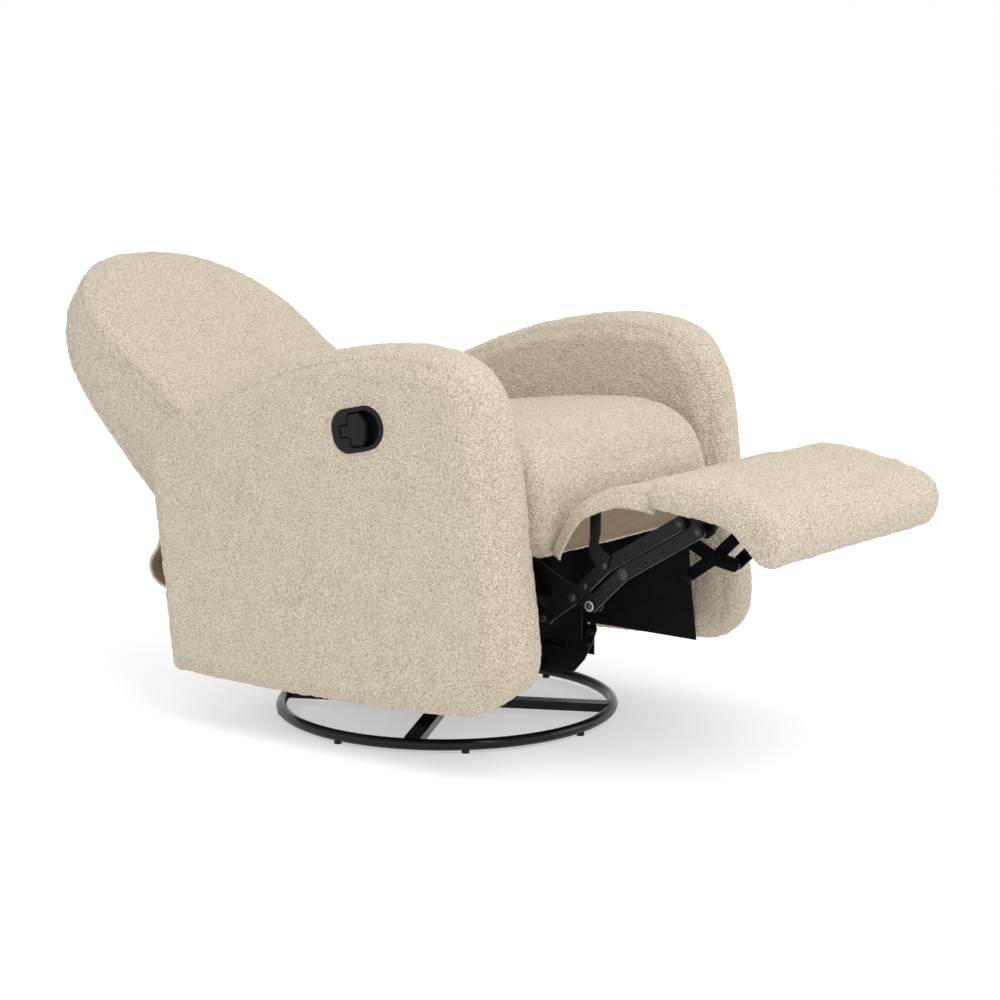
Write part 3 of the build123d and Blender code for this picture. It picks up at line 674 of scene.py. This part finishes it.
OTTO = [(587, 482), (596, 495), (614, 501), (660, 500), (707, 495), (750, 487), (787, 476), (814, 464), (828, 447),
        (831, 425), (824, 401), (810, 387), (792, 389), (772, 404), (745, 429), (715, 443), (690, 448), (664, 450),
        (604, 454), (589, 464)]
otto = slab("ottoman_cover", OTTO, -251, 251, 18, 18, 5.5, 6.0, 1.0, step=5.0, relaxed=2)
pile(otto, 0.8, 41)
dress(otto, SHERPA, "ottoman", ["ottoman_pad"])

# Back: arched, thick at the bottom and thin at the top.
BACK_H = np.array((-408.0, 320.0))
REAR_A, FRONT_A, BACK_T, BACK_HW, ARCH_S, ARCH_E = 43.5, 56.25, 187.0, 252.0, 289.0, 0.90


def back_loop(front, d):
    a = math.radians(FRONT_A if front else REAR_A)
    w = np.array((-math.sin(a), math.cos(a)))
    n = np.array((math.cos(a), math.sin(a)))
    top = 533.0 if front else 551.0
    low = -3.0 if front else -19.0
    pts = [(-BACK_HW, low)] + [(-BACK_HW, low + (ARCH_S - low) * k / 6) for k in range(1, 6)]
    for k in range(-12, 13):
        t = math.radians(7.5 * k)
        pts.append((BACK_HW * math.copysign(abs(math.sin(t)) ** ARCH_E, k) if k else 0.0,
                    ARCH_S + (top - ARCH_S) * abs(math.cos(t)) ** ARCH_E))
    pts += [(BACK_HW, ARCH_S + (low - ARCH_S) * k / 6) for k in range(1, 6)] + [(BACK_HW, low)]
    pts += [(BACK_HW * (1 - k / 4), low) for k in range(1, 8)]
    p = np.array(pts)
    if np.sum(p[:, 0] * np.roll(p[:, 1], -1) - np.roll(p[:, 0], -1) * p[:, 1]) < 0:
        p = p[::-1]
    p = resample(p, 260)
    p = inset(p, d)
    base = BACK_H + (n * BACK_T if front else 0)
    uz = base + p[:, 1:2] * w
    if not front:
        rise = np.clip((p[:, 1] + 19) / 563, 0, 1)
        uz = uz - n * (24 * np.sin(math.pi * rise) ** 0.8)[:, None]
    return np.column_stack([p[:, 0], -uz[:, 0], uz[:, 1]])


def back_rings(r, shrink, sides=6):
    rings = []
    full_r, full_f = back_loop(False, shrink), back_loop(True, shrink)
    span = np.linalg.norm(full_f - full_r, axis=1)[:, None]
    for k in range(sides + 1):
        a = math.pi / 2 * k / sides
        rr = back_loop(False, shrink + r * (1 - math.sin(a)))
        t = (shrink * 0.6 + r * (1 - math.cos(a))) / span
        rings.append(rr + (full_f - full_r) * t)
    for k in range(sides + 1):
        a = math.pi / 2 * (1 - k / sides)
        rf = back_loop(True, shrink + r * (1 - math.sin(a)))
        t = (shrink * 0.6 + r * (1 - math.cos(a))) / span
        rings.append(rf + (full_r - full_f) * t)
    return rings


back = loft("back_cover", back_rings(20.0, -3.0))
remesh(back, 7.0)
relax(back, 2)
inflate(back, 8.0)
subdivide(back)
front_line = back_loop(True, 0.0)
rear_line = back_loop(False, 0.0)
gap = np.linalg.norm(front_line - rear_line, axis=1)[:, None]
line = front_line + (rear_line - front_line) * (18.0 / gap)
keep = line[:, 2] > 480
first = int(np.where(keep & ~np.roll(keep, 1))[0][0])
line = np.roll(line, -first, 0)[:int(keep.sum())]
seam(back, [tuple(p) for p in line[::6]], depth=2.4, width=3.4, pucker=0.4, wave=33, swell=0.6)
line2 = rear_line + (front_line - rear_line) * (20.0 / gap)
line2 = np.roll(line2, -first, 0)
seam(back, [tuple(p) for p in line2[::6]], depth=2.4, width=3.4, pucker=0.4, wave=37, swell=0.6)
pile(back, 0.8, 51)
dress(back, SHERPA, "back", ["back_cushion", "back_rear_cover"])

# Panel across the rear, between the arms.
apron = slab("rear_apron_cover", [(-268, 112), (-278, 176), (-288, 240), (-277, 243), (-266, 240), (-256, 176), (-246, 112), (-257, 109)],
             -256, 256, 9, 9, 6.0, 4.0, 2.0, step=4.0, relaxed=2)
pile(apron, 0.7, 61)
dress(apron, [SHERPA, LINING], "chassis", ["rear_apron"])
apron.data.polygons.foreach_set("material_index", [1 if f.normal.y < -0.45 else 0 for f in apron.data.polygons])


# ------------------------------------------------------------------ sheets
def sheet_grid(name, line, x0, x1, nx, ny, thick, sag=0.0, seed=5, wrinkle=1.5, side_curl=0.0, curl_width=18.0, rim=0):
    """A cloth strip along a side-view line, with a face and a backing; returns the piece and its flat length."""
    c = resample(catmull(line, closed=False), ny + 1, closed=False)
    t = np.gradient(c, axis=0)
    t /= np.linalg.norm(t, axis=1)[:, None]
    nrm = np.column_stack([-t[:, 1], t[:, 0]])
    xs = np.linspace(x0, x1, nx + 1)
    g = (xs - x0) / (x1 - x0)
    verts = np.zeros((2, ny + 1, nx + 1, 3))
    for j in range(ny + 1):
        for i in range(nx + 1):
            w = (xs[i], -c[j, 0], c[j, 1])
            n1 = float(value_noise(np.array([w]) * 0.001, 0.07, seed)[0])
            n2 = float(value_noise(np.array([w]) * 0.001, 0.025, seed + 1)[0])
            edge = min(g[i], 1 - g[i])
            off = wrinkle * (n1 + 0.35 * n2) - sag * math.sin(math.pi * g[i]) * math.sin(math.pi * j / ny)
            off -= side_curl * math.exp(-(edge * (x1 - x0) / curl_width) ** 2)
            for layer, h in ((0, thick / 2), (1, -thick / 2)):
                verts[layer, j, i] = (xs[i], -(c[j, 0] + nrm[j, 0] * (off + h)), c[j, 1] + nrm[j, 1] * (off + h))
    idx = np.arange(2 * (ny + 1) * (nx + 1)).reshape(2, ny + 1, nx + 1)
    faces, kinds = [], []
    for j in range(ny):
        for i in range(nx):
            faces.append((idx[0, j, i], idx[0, j, i + 1], idx[0, j + 1, i + 1], idx[0, j + 1, i]))
            kinds.append(0)
            faces.append((idx[1, j, i], idx[1, j + 1, i], idx[1, j + 1, i + 1], idx[1, j, i + 1]))
            kinds.append(1)
    for j in range(ny):
        for i in (0, nx):
            q = (idx[0, j, i], idx[0, j + 1, i], idx[1, j + 1, i], idx[1, j, i])
            faces.append(q if i == 0 else q[::-1])
            kinds.append(rim)
    for i in range(nx):
        for j in (0, ny):
            q = (idx[0, j, i], idx[1, j, i], idx[1, j, i + 1], idx[0, j, i + 1])
            faces.append(q if j == 0 else q[::-1])
            kinds.append(rim)
    obj = new_object(name, verts.reshape(-1, 3) * 0.001, [tuple(int(v) for v in f) for f in faces])
    bm = bmesh.new()
    bm.from_mesh(obj.data)
    bmesh.ops.recalc_face_normals(bm, faces=bm.faces)
    bm.to_mesh(obj.data)
    bm.free()
    obj.data.polygons.foreach_set("material_index", kinds)
    length = float(np.sum(np.linalg.norm(np.diff(c, axis=0), axis=1)))
    return obj, length * 0.001


def two_faced(obj, mats, body, nodes):
    kinds = np.empty(len(obj.data.polygons), int)
    obj.data.polygons.foreach_get("material_index", kinds)
    for m in mats:
        obj.data.materials.append(m)
    obj.data.polygons.foreach_set("material_index", kinds)
    shade(obj)
    if body:
        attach(obj, body)
    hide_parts(*nodes)


FLAP = [(393, 360), (396, 374), (408, 397), (425, 424), (444, 446), (466, 460), (496, 473), (525, 480), (556, 482),
        (600, 479)]
flap, flap_len = sheet_grid("seat_front_flap_cloth", FLAP, -238, 238, 150, 64, 5.0, sag=4.0, seed=71, wrinkle=1.6,
                            side_curl=28.0, curl_width=13.0)
pile(flap, 0.35, 73)
two_faced(flap, [SHERPA, BACKING], "chassis", ["seat_front_flap"])
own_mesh(flap)

SKIRT = [(-446, 362), (-446, 340), (-447, 315), (-451, 290), (-461, 269), (-474, 251), (-477, 237), (-471, 222),
         (-458, 211), (-436, 203), (-400, 199), (-345, 203), (-292, 208)]
skirt, skirt_len = sheet_grid("rear_skirt_cloth", SKIRT, -246, 246, 110, 70, 5.5, sag=-4.0, seed=81, wrinkle=3.0, side_curl=3.0, rim=1)
pile(skirt, 0.5, 83)
two_faced(skirt, [BACKING, SHERPA], None, ["rear_skirt"])
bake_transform(skirt)

for label, side in (("left", 1), ("right", -1)):
    ring = np.array([(-262, 127), (-282, 246), (-292, 322), (20, 322), (332, 322), (338, 245), (344, 197), (353, 128), (40, 127)], float)
    ny, nx = 40, 110
    verts, faces = [], []
    for layer in (0, 1):
        for j in range(ny + 1):
            z = 127 + (320 - 127) * j / ny
            u0 = np.interp(z, (127, 246, 320), (-262, -282, -292))
            u1 = np.interp(z, (127, 197, 245, 320), (353, 344, 338, 332))
            for i in range(nx + 1):
                u = u0 + (u1 - u0) * i / nx
                p = np.array([[u, z, side * 40.0]]) * 0.001
                w = 0.55 * float(value_noise(p, 0.09, 91)[0]) + 0.25 * float(value_noise(p, 0.03, 92)[0])
                verts.append((side * (256.0 + w + layer * 1.2) * 0.001, -u * 0.001, z * 0.001))
    idx = np.arange(len(verts)).reshape(2, ny + 1, nx + 1)
    for layer in (0, 1):
        for j in range(ny):
            for i in range(nx):
                faces.append(tuple(int(v) for v in (idx[layer, j, i], idx[layer, j, i + 1], idx[layer, j + 1, i + 1], idx[layer, j + 1, i])))
    for j in range(ny):
        for i in (0, nx):
            faces.append(tuple(int(v) for v in (idx[0, j, i], idx[0, j + 1, i], idx[1, j + 1, i], idx[1, j, i])))
    for i in range(nx):
        for j in (0, ny):
            faces.append(tuple(int(v) for v in (idx[0, j, i], idx[1, j, i], idx[1, j, i + 1], idx[0, j, i + 1])))
    liner = new_object("arm_lining_" + label, verts, faces)
    bm = bmesh.new()
    bm.from_mesh(liner.data)
    bmesh.ops.recalc_face_normals(bm, faces=bm.faces)
    bm.to_mesh(liner.data)
    bm.free()
    dress(liner, LINING, "chassis", ["arm_liner_" + label])


# ------------------------------------------------------------------ latch
def sd_box(p, c, half, r):
    q = np.abs(p - np.array(c)) - np.array(half) + r
    return np.linalg.norm(np.maximum(q, 0), axis=-1) + np.minimum(np.max(q, axis=-1), 0) - r


def sd_circle(p, c, r):
    return np.linalg.norm(p - np.array(c), axis=-1) - r


def radial(sdf, centre, count, grow=0.0):
    """Points where rays from the centre leave the shape."""
    ang = np.arange(count) * 2 * math.pi / count
    r = np.arange(0, 70, 0.1)
    pts = np.array(centre) + np.stack([np.cos(ang)[:, None] * r, np.sin(ang)[:, None] * r], -1)
    out = sdf(pts) > grow
    k = np.argmax(out, axis=1)
    return np.array([pts[i, max(k[i] - 1, 0)] for i in range(count)])


def bezel_shape(p):
    body = sd_box(p, (-6, 0), (44.5, 35.5), 30)
    nose = sd_circle(p, (15.0, 0.5), 35.3)
    return np.minimum(body, nose)


def pocket_shape(p):
    wide = np.minimum(sd_box(p, (-2, 0), (15, 28), 7), sd_circle(p, (13.5, 0), 29.0))
    slim = sd_box(p, (-24, 0), (11.5, 11), 3)
    return np.minimum(wide, slim)


def paddle_shape(p):
    wide = np.maximum(sd_box(p, (-1, 0), (16, 26), 7), sd_circle(p, (-30, 0), 44.5))
    slim = sd_box(p, (-22, 0), (12.0, 9.6), 2)
    return np.minimum(wide, slim)


def latch_place(p2, h):
    """Bezel coordinates and height above the arm's outer face, to metres."""
    a, b = p2[:, 0] * 1.08, p2[:, 1] * 1.02
    u = LATCH_UZ[0] + a * math.cos(LATCH_TILT) - b * math.sin(LATCH_TILT)
    z = LATCH_UZ[1] + a * math.sin(LATCH_TILT) + b * math.cos(LATCH_TILT)
    return np.column_stack([np.full(len(p2), -(366.5 + h)), -u, z])


N = 288
C = (0.0, 0.0)
outer = radial(bezel_shape, C, N)
pocket = radial(pocket_shape, C, N)
rings = []
for g, h in ((2.0, -14.0), (0.0, -13.0), (0.0, 0.2), (-0.6, 1.3), (-1.8, 2.0)):
    rings.append(latch_place(radial(bezel_shape, C, N, g), h))
for k in (0.33, 0.66):
    o, q = radial(bezel_shape, C, N, -2.6), radial(pocket_shape, C, N, 1.0)
    rings.append(latch_place(o + (q - o) * k, 2.0))
for g, h in ((0.9, 1.95), (0.25, 1.6), (-0.1, 0.8), (-0.6, -10), (-2.2, -26.5), (-4.5, -28)):
    rings.append(latch_place(radial(pocket_shape, C, N, g), h))
q = radial(pocket_shape, C, N, -4.5)
for k in (0.7, 0.4, 0.12):
    rings.append(latch_place(q * k, -28.0))
bezel = loft("latch_bezel_moulding", rings)
dress(bezel, LATCH, "chassis", ["latch_bezel"])

rings = []
for g, h in ((-2.0, -10.5), (-0.3, -9.8), (0.0, -9.0), (0.0, -0.9), (-0.5, 0.1), (-1.6, 0.7)):
    rings.append(latch_place(radial(paddle_shape, C, N, g), h))
inner = radial(paddle_shape, C, N, -1.6)
for k in (0.75, 0.5, 0.25, 0.06):
    rings.append(latch_place(inner * k, 0.9 + 0.3 * (1 - k)))
paddle = loft("latch_paddle", rings)
dress(paddle, LATCH, "latch", ["latch_lever"])


# ------------------------------------------------------------------ rivet heads on the links
def rivet_heads(name, body, items):
    """Turned heads on both sides of the chair: (u, z, face, head radius, washer radius or 0, bright washer)."""
    verts, faces, kinds = [], [], []
    seg = 40
    for u, z, face, r, washer, bright in items:
        profile = [(r, 0.0), (r, 0.9), (r * 0.95, 1.5), (r * 0.80, 2.2), (r * 0.55, 2.75), (r * 0.28, 3.0), (r * 0.05, 3.05)]
        rim = 0
        if washer:
            ring = [(washer, 0.0), (washer, 0.9), (washer - 0.25, 1.25), (washer - 0.6, 1.4), (r + 0.7, 1.4), (r + 0.25, 1.2)]
            rim = len(ring) - 1
            profile = ring + [(a, h + 1.0) for a, h in profile[1:]]
        for side in (-1, 1):
            start = len(verts)
            for a, h in profile:
                for k in range(seg):
                    t = 2 * math.pi * k / seg
                    verts.append((side * (face + h) * 0.001, -(u + a * math.cos(t)) * 0.001, (z + a * math.sin(t)) * 0.001))
            for j in range(len(profile) - 1):
                for k in range(seg):
                    n = (k + 1) % seg
                    q = (start + j * seg + k, start + j * seg + n, start + (j + 1) * seg + n, start + (j + 1) * seg + k)
                    faces.append(q)
                    kinds.append(1 if bright and j < rim else 0)
            faces.append(tuple(start + (len(profile) - 1) * seg + k for k in range(seg)))
            faces.append(tuple(start + k for k in range(seg))[::-1])
            kinds += [0, 0]
    obj = new_object(name, verts, faces)
    bm = bmesh.new()
    bm.from_mesh(obj.data)
    bmesh.ops.recalc_face_normals(bm, faces=bm.faces)
    bm.to_mesh(obj.data)
    bm.free()
    dress(obj, [HEAD, ZINC], body)
    obj.data.polygons.foreach_set("material_index", kinds)
    return obj


rivet_heads("rivet_heads_upper_links", "footrest_upper", [(487.0, 351.0, 209.2, 6.0, 0, False), (447.5, 312.6, 206.2, 5.6, 0, False)])
rivet_heads("rivet_heads_lower_links", "footrest_lower", [(526.0, 343.0, 214.0, 6.2, 9.6, False)])
rivet_heads("rivet_heads_front_links", "footrest_front", [(425.3, 291.5, 209.4, 5.8, 0, False), (464.3, 284.5, 217.2, 6.0, 8.4, True)])
rivet_heads("rivet_heads_rear_links", "footrest_rear", [(367.4, 250.8, 209.4, 5.8, 0, False)])
rivet_heads("rivet_heads_ottoman", "ottoman", [(626.7, 434.0, 209.4, 5.8, 0, False), (665.7, 427.0, 217.2, 5.8, 0, False)])


# ------------------------------------------------------------------ floor and light
def make_floor():
    m, nt, bsdf, nodes, links = material("pale_floor")
    tc = nodes.new("ShaderNodeTexCoord")
    n = nodes.new("ShaderNodeTexNoise")
    n.inputs["Scale"].default_value = 1.5
    links.new(tc.outputs["Object"], n.inputs["Vector"])
    col = ramp(nodes, [(0.3, (0.60, 0.60, 0.60)), (0.7, (0.62, 0.62, 0.62))])
    links.new(n.outputs["Fac"], col.inputs["Fac"])
    links.new(col.outputs["Color"], bsdf.inputs["Base Color"])
    bsdf.inputs["Roughness"].default_value = 0.9
    bsdf.inputs["Specular IOR Level"].default_value = 0.05
    bsdf.inputs["Emission Color"].default_value = (1, 1, 1, 1)
    bsdf.inputs["Emission Strength"].default_value = 0.46
    return m


floor = new_object("floor", [(-14, -14, 0), (14, -14, 0), (14, 14, 0), (-14, 14, 0)], [(0, 1, 2, 3)])
floor.data.materials.append(make_floor())

world = bpy.data.worlds.new("studio")
scene.world = world
world.use_nodes = True
world.node_tree.nodes["Background"].inputs["Color"].default_value = (1, 1, 1, 1)
world.node_tree.nodes["Background"].inputs["Strength"].default_value = 1.0


def area(name, loc, target, size, power, colour=(1, 1, 1)):
    data = bpy.data.lights.new(name, "AREA")
    data.shape = "RECTANGLE"
    data.size, data.size_y = size
    data.energy = power
    data.color = colour
    obj = bpy.data.objects.new(name, data)
    scene.collection.objects.link(obj)
    obj.location = loc
    obj.rotation_mode = "QUATERNION"
    obj.rotation_quaternion = (Vector(target) - Vector(loc)).to_track_quat("-Z", "Y")
    return obj


area("key", (-1.2, -2.8, 3.6), (0, 0, 0.4), (2.2, 2.2), 60, (1.0, 0.985, 0.96))
area("fill", (2.6, -3.4, 1.9), (0, 0, 0.4), (2.4, 2.4), 24)

area("top", (-1.0, -0.7, 2.8), (0.2, 0, 0.5), (1.4, 1.4), 8)

for o in list(frame["nodes"].values()):
    if o.type == "MESH":
        o.data.update()
